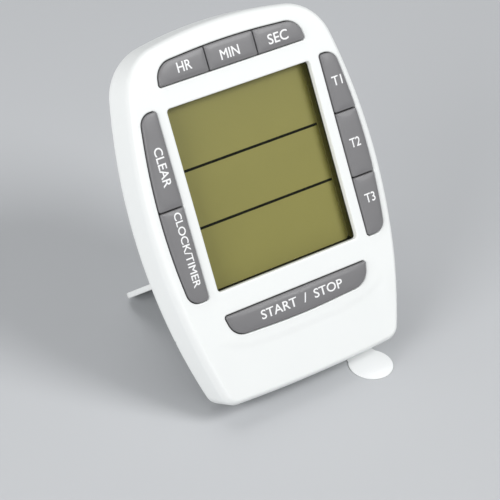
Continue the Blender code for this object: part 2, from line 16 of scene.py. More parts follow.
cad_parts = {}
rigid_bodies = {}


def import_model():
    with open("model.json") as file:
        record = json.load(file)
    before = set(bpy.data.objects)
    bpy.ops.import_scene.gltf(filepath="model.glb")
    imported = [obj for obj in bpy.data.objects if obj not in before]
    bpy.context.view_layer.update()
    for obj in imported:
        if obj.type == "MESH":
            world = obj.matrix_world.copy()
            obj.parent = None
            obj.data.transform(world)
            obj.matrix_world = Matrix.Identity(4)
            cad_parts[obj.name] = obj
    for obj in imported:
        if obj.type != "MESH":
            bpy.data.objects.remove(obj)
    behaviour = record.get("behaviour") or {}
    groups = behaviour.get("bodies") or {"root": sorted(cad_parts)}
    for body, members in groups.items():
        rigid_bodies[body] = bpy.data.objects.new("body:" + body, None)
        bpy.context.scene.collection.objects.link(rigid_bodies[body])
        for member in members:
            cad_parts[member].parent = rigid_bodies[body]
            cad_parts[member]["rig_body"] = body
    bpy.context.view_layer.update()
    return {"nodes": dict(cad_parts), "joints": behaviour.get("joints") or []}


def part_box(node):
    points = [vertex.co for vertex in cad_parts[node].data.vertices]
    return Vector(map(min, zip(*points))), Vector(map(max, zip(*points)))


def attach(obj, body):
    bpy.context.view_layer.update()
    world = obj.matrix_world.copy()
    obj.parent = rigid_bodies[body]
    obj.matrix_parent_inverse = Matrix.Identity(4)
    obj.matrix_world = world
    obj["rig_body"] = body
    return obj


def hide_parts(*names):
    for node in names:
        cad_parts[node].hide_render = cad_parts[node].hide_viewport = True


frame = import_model()
joints = {joint["name"]: joint for joint in frame["joints"]}
MM = 0.001

# ---- driving dimensions, in millimetres ------------------------------------------------
CASE_HALF_WIDTH = 35.75
SIDE_RADIUS, WIDEST_HEIGHT = 150.0, 49.9    # the sides' arcs, and how high they bulge most
TOP_RADIUS, BOTTOM_RADIUS = 120.0, 450.0
TOP_CORNER, BOTTOM_CORNER = 14.0, 4.5
WALL, FRONT_WALL = 1.6, 1.8
ROUND_INSET, ROUND_DEPTH = 1.7, 3.0    # the front edge's elliptical round
SEAM_DEPTH, SEAM_GAP, SEAM_ROUND = 10.4, 0.3, 0.2
DOOR_HEIGHT, DOOR_GAP = 20.0, 0.5       # the battery door's top, and its seam with the back
WINDOW_WIDTH, WINDOW_LENGTH = 44.8, 48.4
WINDOW_RECESS = 1.4
RIM_ROUND = 0.35            # round on the edge of every opening
FLAT_BAND = 0.06            # flat strip that keeps each round's shading off the face
KEY_GAP = 0.25              # between a key and its opening
KEY_SPLIT = 0.3             # between neighbouring keys
KEY_EDGE_HEIGHT = 0.62      # top of a key's rounded edge, above the face
KEY_EDGE_ROUND = 0.38
KEY_CROWN = 0.22            # how far a key's middle rises above its edge
KEY_SKIRT, KEY_FLANGE = 2.6, (2.1, 2.9)    # depths of a key's sides, and of its flange's two faces
INK_HEIGHT = 0.03           # the printed words' height above the keys
INK_SPREAD = 0.011          # how much a stroke gains on each side, as a share of the type size
TOP_SPLIT, RIGHT_SPLIT = 7.6, 8.8
CREASE_HEIGHT, CREASE_RISE = 14.5, 2.6  # the crease above the chin: in the middle, and its rise
CREASE_HALF_WIDTH = 24.0                # at this distance from the middle
CHIN_STEP, CHIN_SLOPE = 0.2, 0.055
FACE_GRID_TOP = 18.5        # the face is finely divided below this height, where it isn't flat
MASK_LINES = (-7.75, 7.4)   # the panel's two dark lines, from the window's centre
MASK_HALF_LINE = 0.35
SHADED_MARGIN = -24.1         # top of the panel's lower margin, painted dark as shade at the window's foot, from the window's centre
STAND_THICKNESS, STAND_HALF_WIDTH = 1.6, 23.6
STAND_EDGE_ROUND = 0.4
STAND_SLOPE = math.radians(44.2)        # the open stand's slope below level
STAND_POCKET = (34.15, 79.3)            # its lower and upper end, up the back
POCKET_HALF_WIDTH, POCKET_FLOOR = 24.2, 11.2
BACK_INNER_DEPTH = 13.2     # how deep the raised parts inside the back reach
TAB_THICKNESS, TAB_HALF_WIDTH = 0.2, 4.3
TAB_DISC_RADIUS, TAB_FOLD_RADIUS = 6.0, 1.5
TAB_DEPTH = 10.35           # of the strip inside the case
PAST_CASE = 50              # far enough for a cutting box to pass through the whole case

# ---- the case's frame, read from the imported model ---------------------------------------
ACROSS = Vector((1, 0, 0))
INWARD = Vector(joints["key_start_stop_press"]["axis"]).normalized()
UP_FACE = ACROSS.cross(INWARD)
RECLINE = math.asin(UP_FACE.y)


def reach(node, direction):
    """Least and greatest extent of a CAD node along a direction, in metres."""
    spots = [vertex.co.dot(direction) for vertex in frame["nodes"][node].data.vertices]
    return min(spots), max(spots)


CASE_ORIGIN = INWARD * reach("front_shell", INWARD)[0] + UP_FACE * reach("front_shell", UP_FACE)[0]
CASE_LENGTH = (reach("front_shell", UP_FACE)[1] - reach("front_shell", UP_FACE)[0]) / MM
CASE_DEPTH = (reach("back_shell", INWARD)[1] - reach("front_shell", INWARD)[0]) / MM
DISPLAY_HEIGHT = (sum(reach("display_window", UP_FACE)) / 2 - CASE_ORIGIN.dot(UP_FACE)) / MM
PANEL_DEPTH = (reach("display_panel", INWARD)[0] - CASE_ORIGIN.dot(INWARD)) / MM
CASE_MATRIX = Matrix.Translation(CASE_ORIGIN) @ Matrix((ACROSS, INWARD, UP_FACE)).transposed().to_4x4()


def place(x, depth, height):
    return CASE_ORIGIN + (ACROSS * x + INWARD * depth + UP_FACE * height) * MM


# ---- materials -------------------------------------------------------------------------
def surface(name, colour, roughness, metallic=0.0, grain=0.3, bump=0.0, variation=0.04, **sockets):
    """A Principled material with fine grain: colour and roughness vary a little with two
    noises, and bump (in mm) raises the finer one.  grain is the finer one's size in mm."""
    made = bpy.data.materials.new(name)
    made.use_nodes = True
    nodes, links = made.node_tree.nodes, made.node_tree.links
    shader = nodes["Principled BSDF"]
    shader.inputs["Metallic"].default_value = metallic
    for socket, value in sockets.items():
        shader.inputs[socket.replace("_", " ")].default_value = value
    where = nodes.new("ShaderNodeTexCoord")
    fine, broad = nodes.new("ShaderNodeTexNoise"), nodes.new("ShaderNodeTexNoise")
    fine.inputs["Scale"].default_value = 1 / (grain * MM)
    fine.inputs["Detail"].default_value = 3
    broad.inputs["Scale"].default_value = 60
    broad.inputs["Detail"].default_value = 4
    for noise in (fine, broad):
        links.new(where.outputs["Object"], noise.inputs["Vector"])
    blend = nodes.new("ShaderNodeMix")
    blend.data_type = "RGBA"
    blend.inputs["A"].default_value = (*[c * (1 - variation) for c in colour], 1)
    blend.inputs["B"].default_value = (*[min(c * (1 + variation), 1) for c in colour], 1)
    links.new(broad.outputs["Fac"], blend.inputs["Factor"])
    links.new(blend.outputs["Result"], shader.inputs["Base Color"])
    spread = nodes.new("ShaderNodeMapRange")
    spread.inputs["To Min"].default_value = max(roughness - 0.07, 0.02)
    spread.inputs["To Max"].default_value = roughness + 0.07
    links.new(fine.outputs["Fac"], spread.inputs["Value"])
    links.new(spread.outputs["Result"], shader.inputs["Roughness"])
    if bump:
        relief = nodes.new("ShaderNodeBump")
        relief.inputs["Distance"].default_value = bump * MM
        links.new(fine.outputs["Fac"], relief.inputs["Height"])
        links.new(relief.outputs["Normal"], shader.inputs["Normal"])
    return made


MATERIALS = {
    "white": surface("white_plastic", (0.86, 0.875, 0.865), 0.33, grain=0.22, bump=0.006, variation=0.01),
    "key": surface("grey_key_plastic", (0.188, 0.185, 0.19), 0.42, grain=0.18, bump=0.01),
    "ink": surface("white_ink", (0.88, 0.88, 0.88), 0.5, variation=0.02),
    "lens": surface("clear_acrylic", (0.03, 0.035, 0.02), 0.09, variation=0.0, Alpha=0.08),
    # painted shade: the lens's side faces are dark olive, for the shadowed band seen through the window's
    # edge
    "shaded_lens_edge": surface("lens_edge_painted_shade", (0.02, 0.019, 0.005), 0.5),
    # the display frame is dark by itself; its olive tint is painted shade, the shadow on the panel inside
    # the window
    "shaded_border": surface("olive_border_painted_shade", (0.11, 0.1, 0.022), 0.5, Specular_IOR_Level=0.3),
    "panel": surface("olive_liquid_crystal", (0.322, 0.296, 0.075), 0.4, grain=0.12, variation=0.05),
    # the panel's two dark lines are its print; the same dark is painted shade on the panel's lower margin
    # and the frame's lower run
    "line": surface("dark_mask_line_and_painted_shade", (0.005, 0.005, 0.002), 0.6, Specular_IOR_Level=0.1),
    "black": surface("black_plastic", (0.012, 0.012, 0.012), 0.55, bump=0.008),
    "strip": surface("striped_contact_rubber", (0.62, 0.6, 0.62), 0.7, bump=0.01, variation=0.15),
    "board": surface("green_board", (0.02, 0.13, 0.05), 0.35, grain=0.6, bump=0.01, variation=0.25),
    "epoxy": surface("black_epoxy", (0.008, 0.008, 0.009), 0.2, grain=2.0, bump=0.05),
    "rubber": surface("grey_silicone", (0.48, 0.49, 0.51), 0.75, bump=0.01),
    "steel": surface("nickel_plate", (0.62, 0.61, 0.59), 0.27, 1.0, bump=0.004),
    "brass": surface("sounder_brass", (0.72, 0.54, 0.24), 0.3, 1.0, bump=0.004, variation=0.1),
    "cell": surface("cell_jacket", (0.05, 0.06, 0.09), 0.3, variation=0.1),
    "magnet": surface("bright_nickel", (0.7, 0.69, 0.68), 0.16, 1.0, bump=0.003),
    "red": surface("red_insulation", (0.5, 0.02, 0.02), 0.45, bump=0.01),
    "film": surface("white_film", (0.9, 0.91, 0.91), 0.3, grain=0.5, bump=0.004, variation=0.01),
}


# ---- plane outlines, as (x, height) points, anticlockwise seen from the front -----------
def arc(centre, radius, start, end, steps):
    turn = [start + (end - start) * i / steps for i in range(steps + 1)]
    return [(centre[0] + radius * math.cos(a), centre[1] + radius * math.sin(a)) for a in turn]


def meet(centre_a, radius_a, centre_b, radius_b):
    """Where two circles cross, taking the crossing on the right."""
    a, b = Vector(centre_a), Vector(centre_b)
    gap = (b - a).length
    along = (radius_a ** 2 - radius_b ** 2 + gap ** 2) / (2 * gap)
    off = math.sqrt(max(radius_a ** 2 - along ** 2, 0.0))
    unit = (b - a) / gap
    side = Vector((-unit.y, unit.x)) * off
    return max(tuple(a + unit * along + side), tuple(a + unit * along - side))


def angle_to(centre, point):
    return math.atan2(point[1] - centre[1], point[0] - centre[0])


def case_outline(inset, bottom_inset=None):
    """The case's barrel outline drawn inwards by inset: four arcs and four round corners."""
    low = inset if bottom_inset is None else bottom_inset
    side = (CASE_HALF_WIDTH - SIDE_RADIUS, WIDEST_HEIGHT)
    top, base = (0.0, CASE_LENGTH - TOP_RADIUS), (0.0, BOTTOM_RADIUS)
    side_r, top_r, base_r = SIDE_RADIUS - inset, TOP_RADIUS - inset, BOTTOM_RADIUS - low
    low_corner, high_corner = BOTTOM_CORNER - inset, TOP_CORNER - inset
    low_centre = meet(side, side_r - low_corner, base, base_r - low_corner)
    high_centre = meet(side, side_r - high_corner, top, top_r - high_corner)
    low_side, high_side = angle_to(side, low_centre), angle_to(side, high_centre)
    low_base, high_top = angle_to(base, low_centre), angle_to(top, high_centre)
    right = arc(base, base_r, -math.pi / 2, low_base, 10)[:-1]
    right += arc(low_centre, low_corner, low_base, low_side, 14)[:-1]
    right += arc(side, side_r, low_side, high_side, 30)[:-1]
    right += arc(high_centre, high_corner, high_side, high_top, 20)[:-1]
    right += arc(top, top_r, high_top, math.pi / 2, 12)
    return right + [(-x, h) for x, h in reversed(right[1:-1])]


def corner_arc(before, here, after, radius, steps):
    """The arc that rounds a polygon's corner, tangent to both its edges."""
    to_before, to_after = (before - here).normalized(), (after - here).normalized()
    half = to_before.angle(to_after) / 2
    centre = here + (to_before + to_after).normalized() * (radius / math.sin(half))
    start = angle_to(centre, here + to_before * (radius / math.tan(half)))
    end = angle_to(centre, here + to_after * (radius / math.tan(half)))
    sweep = (end - start + math.pi) % (2 * math.pi) - math.pi
    return arc(centre, radius, start, start + sweep, steps)


def rounded(corners, steps=10):
    """A polygon of (x, height, radius) corners with each corner rounded."""
    points = []
    for i, (x, h, radius) in enumerate(corners):
        before, after = corners[i - 1], corners[(i + 1) % len(corners)]
        points += corner_arc(Vector(before[:2]), Vector((x, h)), Vector(after[:2]), radius, steps)
    return points


def grown(points, distance):
    """A convex outline moved outwards by distance (inwards if negative)."""
    moved = []
    for i, point in enumerate(points):
        here, before, after = Vector(point), Vector(points[i - 1]), Vector(points[(i + 1) % len(points)])
        edge_in, edge_out = (here - before).normalized(), (after - here).normalized()
        normal_in, normal_out = Vector((edge_in.y, -edge_in.x)), Vector((edge_out.y, -edge_out.x))
        both = (normal_in + normal_out).normalized()
        moved.append(tuple(here + both * (distance / max(both.dot(normal_in), 0.5))))
    return moved


def clipped(points, axis, limit, keep_above):
    """The part of a convex outline on one side of a line across x (0) or height (1)."""
    kept = []
    for i, point in enumerate(points):
        before = points[i - 1]
        inside, was_inside = (point[axis] > limit) == keep_above, (before[axis] > limit) == keep_above
        if inside != was_inside:
            share = (limit - before[axis]) / (point[axis] - before[axis])
            kept.append(tuple(before[k] + share * (point[k] - before[k]) for k in (0, 1)))
        if inside:
            kept.append(point)
    return kept


SHARP, FAR = math.radians(40), (1e6, 1e6)


def turning(points, i):
    """The angle that an outline turns through at a point."""
    before, here, after = (Vector(points[k % len(points)]) for k in (i - 1, i, i + 1))
    return (here - before).angle(after - here)


def eased(points, radius, steps=5):
    """An outline with its sharp corners rounded."""
    sharp = [point for i, point in enumerate(points) if turning(points, i) > SHARP]
    points = [point for point in points
              if point in sharp or min(math.dist(point, corner) for corner in sharp + [FAR]) > 2 * radius]
    made = []
    for i, point in enumerate(points):
        here, before, after = Vector(point), Vector(points[i - 1]), Vector(points[(i + 1) % len(points)])
        if turning(points, i) < SHARP:
            made.append(point)
        else:
            made += corner_arc(before, here, after, radius, steps)
    return made


def rectangle(width, length, corner, middle=None):
    middle = DISPLAY_HEIGHT if middle is None else middle
    half, low, high = width / 2, middle - length / 2, middle + length / 2
    corners = [(-half, low), (half, low), (half, high), (-half, high)]
    return rounded([(x, h, corner) for x, h in corners])


# ---- mesh building ---------------------------------------------------------------------
def covers(outline, points):
    """For each point, whether it lies inside the outline."""
    x, y = points[:, 0], points[:, 1]
    result = np.zeros(len(points), bool)
    for i, (bx, by) in enumerate(outline):
        ax, ay = outline[i - 1]
        crosses = (ay > y) != (by > y)
        result ^= crosses & (x < ax + (bx - ax) * (y - ay) / (by - ay if by != ay else 1.0))
    return result


def clearance(outline, points):
    """For each point, its distance to the outline."""
    best = np.full(len(points), np.inf)
    for i, end in enumerate(outline):
        a, b = np.array(outline[i - 1]), np.array(end)
        along = b - a
        t = np.clip(((points - a) @ along) / max(along @ along, 1e-12), 0, 1)
        best = np.minimum(best, np.linalg.norm(points - a - t[:, None] * along, axis=1))
    return best


def grid_inside(outline, spacing, margin, holes=(), below=None):
    """Points of a staggered grid inside an outline, margin away from every edge."""
    low, high = np.min(outline, axis=0), np.max(outline, axis=0)
    rows = []
    for row, y in enumerate(np.arange(low[1], high[1], spacing * 0.87)):
        shift = spacing / 2 * (row % 2)
        rows += [(x + shift, y) for x in np.arange(low[0], high[0], spacing)]
    points = np.array(rows)
    keep = covers(outline, points) & (clearance(outline, points) > margin)
    for hole in holes:
        keep &= ~covers(hole, points) & (clearance(hole, points) > margin)
    if below is not None:
        keep &= points[:, 1] < below
    return [tuple(point) for point in points[keep]]


class Mesh:
    """A mesh under construction; every vertex remembers its (x, height) in the case's frame."""

    def __init__(self):
        self.build = bmesh.new()
        self.spots = {}

    def ring(self, outline, depth):
        """A loop of vertices; depth is a number or a function of x and height."""
        loop = []
        for x, height in outline:
            deep = depth(x, height) if callable(depth) else depth
            vertex = self.build.verts.new(place(x, deep, height))
            self.spots[vertex] = (x, height)
            loop.append(vertex)
        return loop

    def bridge(self, *rings):
        for low, high in zip(rings, rings[1:]):
            for i in range(len(low)):
                self.build.faces.new((low[i - 1], low[i], high[i], high[i - 1]))
        return rings[-1]

    def cap(self, loop):
        self.build.faces.new(loop)

    def fill(self, loops, loose=()):
        """Triangles in the region inside the first loop and outside the others."""
        vertices = [vertex for loop in loops for vertex in loop] + list(loose)
        points = [Vector(self.spots[vertex]) for vertex in vertices]
        edges, start = [], 0
        for loop in loops:
            edges += [(start + i, start + (i + 1) % len(loop)) for i in range(len(loop))]
            start += len(loop)
        spots, _, faces, origins, _, _ = delaunay_2d_cdt(points, edges, [], 0, 1e-6, True)
        centres = np.array([sum((spots[i] for i in face), Vector((0, 0))) / 3 for face in faces])
        outlines = [[self.spots[vertex] for vertex in loop] for loop in loops]
        keep = covers(outlines[0], centres)
        for hole in outlines[1:]:
            keep &= ~covers(hole, centres)
        for face, wanted in zip(faces, keep):
            if wanted:
                self.build.faces.new([vertices[origins[i][0]] for i in face])

    def finish(self, name, *materials, angle=32):
        bmesh.ops.recalc_face_normals(self.build, faces=self.build.faces)
        data = bpy.data.meshes.new(name)
        self.build.to_mesh(data)
        self.build.free()
        return linked(name, data, *materials, angle=angle)


def linked(name, data, *materials, angle=32):
    made = bpy.data.objects.new(name, data)
    bpy.context.scene.collection.objects.link(made)
    for material in materials:
        data.materials.append(MATERIALS[material])
    data.shade_smooth()
    data.set_sharp_from_angle(angle=math.radians(angle))
    return made


def loft(name, rings, *materials, angle=32):
    """A closed solid through (outline, depth) rings of equal length, capped at both ends."""
    mesh = Mesh()
    loops = [mesh.ring(outline, depth) for outline, depth in rings]
    mesh.bridge(*loops)
    mesh.cap(loops[0])
    mesh.cap(loops[-1])
    return mesh.finish(name, *materials, angle=angle)


def prism(name, outline, front, back, material="white"):
    return loft(name, [(outline, front), (outline, back)], material)


def box(name, x, depth, height, material="white"):
    outline = [(x[0], height[0]), (x[1], height[0]), (x[1], height[1]), (x[0], height[1])]
    return prism(name, outline, depth[0], depth[1], material)


def disc(name, centre, radius, depth, material="white", sides=48):
    return prism(name, arc(centre, radius, 0, 2 * math.pi, sides)[:-1], depth[0], depth[1], material)


def combine(target, tool, operation, angle=32):
    change = target.modifiers.new(operation.title(), "BOOLEAN")
    change.operation = operation
    change.solver = "EXACT"
    change.object = tool
    result = bpy.data.meshes.new_from_object(target.evaluated_get(bpy.context.evaluated_depsgraph_get()))
    target.modifiers.clear()
    target.data = result
    bpy.data.objects.remove(tool, do_unlink=True)
    result.shade_smooth()
    result.set_sharp_from_angle(angle=math.radians(angle))
    return target


def add(target, tool):
    return combine(target, tool, "UNION")


def cut(target, tool):
    return combine(target, tool, "DIFFERENCE")


def soften(made, width, segments=2, angle=38):
    """Round every sharp edge by a bevel."""
    bevel = made.modifiers.new("Round edges", "BEVEL")
    bevel.width = width * MM
    bevel.segments = segments
    bevel.limit_method = "ANGLE"
    bevel.angle_limit = math.radians(angle)
    bevel.harden_normals = True
    return made


def settle(made, body, slot, *nodes):
    """Give a finished piece its body, and hide the CAD nodes it stands for.  slot is not used."""
    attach(made, body)
    if nodes:
        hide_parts(*nodes)
    return made


# ---- key groups, heights measured from the window's centre -----------------------------
def key_group(corners, mirrored=False):
    outline = rounded([(x, h + DISPLAY_HEIGHT, r) for x, h, r in corners], 14)
    return [(-x, h) for x, h in reversed(outline)] if mirrored else outline


SIDE_CORNERS = [(25.5, -25.0, 1.0), (31.2, -25.0, 3.5), (34.1, -1.2, 150.0), (30.4, 25.0, 3.5),
                (25.5, 25.0, 1.0)]
GROUPS = {
    "top": key_group([(-22.9, 29.8, 0.8), (22.9, 29.8, 0.8), (22.0, 35.8, 5.0), (0.0, 37.2, 200.0),
                      (-22.0, 35.8, 5.0)]),
    "bottom": key_group([(-21.4, -36.6, 5.0), (0.0, -37.6, 200.0), (21.4, -36.6, 5.0), (22.9, -30.4, 0.8),
                         (-22.9, -30.4, 0.8)]),
    "right": key_group(SIDE_CORNERS),
    "left": key_group(SIDE_CORNERS, mirrored=True),
}
CASE_SCREWS = {"case_screw_top_left": (-26.2, 83.6), "case_screw_top_right": (26.2, 83.6),
               "case_screw_bottom_left": (-27.5, 24.6), "case_screw_bottom_right": (27.5, 24.6)}
BOARD_SCREWS = ((-20.0, 26.4), (20.0, 26.4))
BUZZER, MAGNETS = (0.0, 87.2), ((-16.5, 85.6), (16.5, 85.6))


# ---- case ------------------------------------------------------------------------------
def smooth_step(value, start, end):
    t = min(max((value - start) / (end - start), 0.0), 1.0)
    return t * t * (3 - 2 * t)


def chin(x, height):
    """How far the face falls back below the curved crease under the long key."""
    below = CREASE_HEIGHT + CREASE_RISE * (x / CREASE_HALF_WIDTH) ** 4 - height
    if below <= 0:
        return 0.0
    fade_start, fade_end, step_height, ease = 22.0, 29.0, 1.1, 4.0
    step = CHIN_STEP * smooth_step(below, 0.0, step_height)
    return step * (1 - smooth_step(abs(x), fade_start, fade_end)) + CHIN_SLOPE * below ** 2 / (below + ease)


def make_front_shell():
    mesh = Mesh()

    def outer(inset, depth):
        fade = 1 - depth / SEAM_DEPTH
        return mesh.ring(case_outline(inset), lambda x, h: depth + chin(x, h) * fade)

    steps = 12
    rings = [outer(ROUND_INSET + FLAT_BAND, 0.0)]
    for step in range(steps + 1):
        turn = math.pi / 2 * step / steps
        rings.append(outer(ROUND_INSET * (1 - math.sin(turn)), ROUND_DEPTH * (1 - math.cos(turn))))
    rings += [outer(0, ROUND_DEPTH + 0.5), outer(0, SEAM_DEPTH - 0.5), outer(0, SEAM_DEPTH - SEAM_ROUND)]
    rings += [outer(0.3 * SEAM_ROUND, SEAM_DEPTH - 0.3 * SEAM_ROUND), outer(SEAM_ROUND, SEAM_DEPTH)]
    rings += [outer(WALL, SEAM_DEPTH), mesh.ring(case_outline(WALL), FRONT_WALL)]
    mesh.bridge(*rings)

    outlines = list(GROUPS.values()) + [rectangle(WINDOW_WIDTH, WINDOW_LENGTH, 1.0)]
    face_holes, inner_holes = [], []
    for outline in outlines:
        rim = [mesh.ring(grown(outline, RIM_ROUND + FLAT_BAND), 0.0)]
        for step in range(6):
            turn = math.pi / 2 * step / 5
            rim.append(mesh.ring(grown(outline, RIM_ROUND * (1 - math.sin(turn))),
                                 RIM_ROUND * (1 - math.cos(turn))))
        rim += [mesh.ring(outline, RIM_ROUND + 0.2), mesh.ring(outline, FRONT_WALL)]
        mesh.bridge(*rim)
        face_holes.append(rim[0])
        inner_holes.append(rim[-1])
    face_outline = [mesh.spots[vertex] for vertex in rings[0]]
    hole_outlines = [[mesh.spots[vertex] for vertex in loop] for loop in face_holes]
    loose = mesh.ring(grid_inside(face_outline, 0.9, 0.45, hole_outlines, FACE_GRID_TOP), chin)
    mesh.fill([rings[0]] + face_holes, loose)
    mesh.fill([rings[-1]] + inner_holes)
    shell = mesh.finish("case_front", "white")

    rib_foot = 1.6                          # inside the front wall, where ribs and posts start
    cell_ribs = (((-22.4, 22.4), (1.0, 12.2), (14.3, 15.2)),        # above the cell
                 ((23.7, 24.9), (rib_foot, 10.2), (3.0, 15.0)),     # beside its two ends
                 ((-26.6, -25.6), (rib_foot, 10.2), (3.0, 15.0)))
    for x, depth, height in cell_ribs:
        add(shell, box("rib", x, depth, height))
    for centre in CASE_SCREWS.values():
        add(shell, disc("post", centre, 2.2, (rib_foot, SEAM_DEPTH), sides=24))
        cut(shell, disc("bore", centre, 1.05, (4.0, SEAM_DEPTH + 1), sides=16))
    for centre in BOARD_SCREWS:
        add(shell, disc("post", centre, 1.3, (rib_foot, 7.2), sides=24))
    tab_low, tab_high = (edge / MM for edge in reach("pull_tab", ACROSS))
    middle, half = (tab_low + tab_high) / 2, TAB_HALF_WIDTH + 0.3
    cut(shell, box("slit", (middle - half, middle + half), (10.0, 12.0), (-1.0, 3.0)))
    return settle(shell, "case", "white_case", "front_shell")


def back_cup(name):
    """The whole back of the case: a shallow cup whose rim meets the front shell."""
    front, floor = SEAM_DEPTH + SEAM_GAP, CASE_DEPTH - 1.2
    rise, run, inset, chamfer = CASE_DEPTH - front, 3.7, 0.3, 0.15
    rings = [(case_outline(inset + chamfer, 0.45), front), (case_outline(inset, inset), front + chamfer)]
    for step in range(1, 13):               # a round that is a little squarer than a quarter ellipse
        turn = math.pi / 2 * step / 12
        rings.append((case_outline(inset + run * (1 - math.cos(turn) ** 1.25), inset),
                      front + rise * math.sin(turn) ** 1.1))
    wall = 1.8
    inner = [(case_outline(3.6, wall), floor), (case_outline(2.3, wall), 11.8),
             (case_outline(wall, wall), front)]
    return loft(name, rings[::-1] + inner[::-1], "white", angle=40)


def make_back_shell():
    shell = back_cup("case_back")
    cut(shell, box("door_region", (-PAST_CASE, PAST_CASE), (0, 30), (-5, DOOR_HEIGHT + DOOR_GAP / 2)))
    low, high = STAND_POCKET
    tub_half_width = POCKET_HALF_WIDTH + 1.4
    add(shell, box("tub", (-tub_half_width, tub_half_width), (10.0, BACK_INNER_DEPTH),
                   (low - 1.3, high + 1.2)))
    pocket = rounded([(side * POCKET_HALF_WIDTH, height, radius) for side, height, radius in
                      ((-1, low, 0.4), (1, low, 0.4), (1, high, 6.0), (-1, high, 6.0))])
    cut(shell, prism("pocket", pocket, POCKET_FLOOR, 16))
    cut(shell, prism("thumb", rectangle(14, 5.6, 2.6, high + 0.4), 13.4, 16))
    for centre in CASE_SCREWS.values():
        add(shell, disc("boss", centre, 2.9, (SEAM_DEPTH + SEAM_GAP, BACK_INNER_DEPTH), sides=32))
        cut(shell, disc("bore", centre, 1.2, (5, 20), sides=24))
        cut(shell, disc("head_seat", centre, 2.25, (12.4, 20)))
    for centre in MAGNETS:
        add(shell, disc("cup", centre, 5.7, (10.9, BACK_INNER_DEPTH)))
        cut(shell, disc("seat", centre, 4.75, (11.9, 20)))
    for ring, radius in ((1, 0.0), (6, 2.7)):
        for spot in range(ring):
            turn = 2 * math.pi * spot / ring
            centre = (BUZZER[0] + radius * math.sin(turn), BUZZER[1] + radius * math.cos(turn))
            cut(shell, disc("sound_hole", centre, 0.7, (10, 20), sides=20))
    return settle(soften(shell, 0.22), "case", "white_case", "back_shell")


def make_battery_door():
    door = back_cup("battery_cover")
    region = box("door_region", (-PAST_CASE, PAST_CASE), (0, 30), (-5, DOOR_HEIGHT - DOOR_GAP / 2))
    combine(door, region, "INTERSECT")
    for x in ((-28.2, -24.6), (24.6, 28.2)):        # the latch tongues, and what carries them
        add(door, box("tongue", x, (11.8, 12.6), (17.4, 21.3)))
        add(door, box("riser", x, (12.3, 13.3), (17.4, 19.4)))
    grip_height, grip_spacing, grip_floor = 10.0, 1.5, 13.75
    for rib in range(-2, 3):
        height = grip_height + grip_spacing * rib
        add(door, prism("grip", rectangle(15 - 0.9 * abs(rib), 0.7, 0.34, height), 13.6, 14.1))
    cut(door, prism("grip_field", rectangle(19, 9.4, 4.2, grip_height), grip_floor, 16))
    below_bench = box("bench_cut", (-PAST_CASE, PAST_CASE), (-60, 60), (-20, 0))
    below_bench.data.transform(CASE_MATRIX.inverted())
    cut(door, below_bench)
    return settle(soften(door, 0.2), "battery_door", "white_case", "battery_door")


# ---- keys ------------------------------------------------------------------------------
def pillow(loop, loose, crown):
    """Raise a key's top in the middle: the membrane that a light pressure would swell."""
    index = {vertex: k for k, vertex in enumerate(loop + loose)}
    pairs = set()
    for vertex in loose:
        for edge in vertex.link_edges:
            pairs.add((index[vertex], index[edge.other_vert(vertex)]))
    pairs = np.array(sorted(pairs))
    count = np.bincount(pairs[:, 0], minlength=len(index)).clip(1)
    rise = np.zeros(len(index))
    rounds, fullness = 600, 2.5             # a fuller top is flatter in its middle
    for _ in range(rounds):
        total = np.bincount(pairs[:, 0], weights=rise[pairs[:, 1]], minlength=len(index))
        rise = total / count + 1.0
        rise[:len(loop)] = 0.0
    share = (1 - np.exp(-fullness * rise / rise.max())) / (1 - math.exp(-fullness))
    for vertex, k in index.items():
        vertex.co -= INWARD * (share[k] * crown * MM)


def make_key(name, group, share, node):
    """A key with a rounded edge and a slightly swollen top, and its flange behind the face."""
    axis, low, high = share

    def part(outline):
        if low is not None:
            outline = clipped(outline, axis, low + KEY_SPLIT / 2, True)
        return outline if high is None else clipped(outline, axis, high - KEY_SPLIT / 2, False)

    face = eased(part(grown(GROUPS[group], -KEY_GAP)), 0.45)
    mesh = Mesh()
    skirt = mesh.ring(face, KEY_SKIRT)
    rings = [skirt, mesh.ring(face, 0.0), mesh.ring(face, KEY_EDGE_ROUND - KEY_EDGE_HEIGHT)]
    for step in range(1, 6):
        turn = math.pi / 2 * step / 5
        inset = KEY_EDGE_ROUND * (1 - math.cos(turn))
        rings.append(mesh.ring(grown(face, -inset), KEY_EDGE_ROUND * (1 - math.sin(turn)) - KEY_EDGE_HEIGHT))
    top = mesh.bridge(*rings)
    mesh.cap(skirt)
    top_outline = [mesh.spots[vertex] for vertex in top]
    loose = mesh.ring(grid_inside(top_outline, 0.55, 0.3), -KEY_EDGE_HEIGHT)
    mesh.fill([top], loose)
    pillow(top, loose, KEY_CROWN)
    key = mesh.finish(name, "key", angle=50)
    add(key, prism("flange", part(grown(GROUPS[group], 0.6)), *KEY_FLANGE, "key"))
    return settle(key, node, "grey_keys", node)


def thicken(build, spread):
    """Move the outline of a flat mesh outwards in its plane, never by more than twice spread."""
    moves = []
    for vertex in build.verts:
        normals = []
        for edge in (edge for edge in vertex.link_edges if edge.is_boundary):
            inner = edge.link_faces[0].calc_center_median() - vertex.co
            normal = (edge.other_vert(vertex).co - vertex.co).cross(Vector((0, 0, 1))).normalized()
            normals.append(-normal if normal.dot(inner) > 0 else normal)
        if len(normals) == 2:
            total = normals[0] + normals[1]
            moves.append((vertex, total * (2 * spread / max(total.length_squared, total.length, 1e-6))))
    for vertex, move in moves:
        vertex.co += move


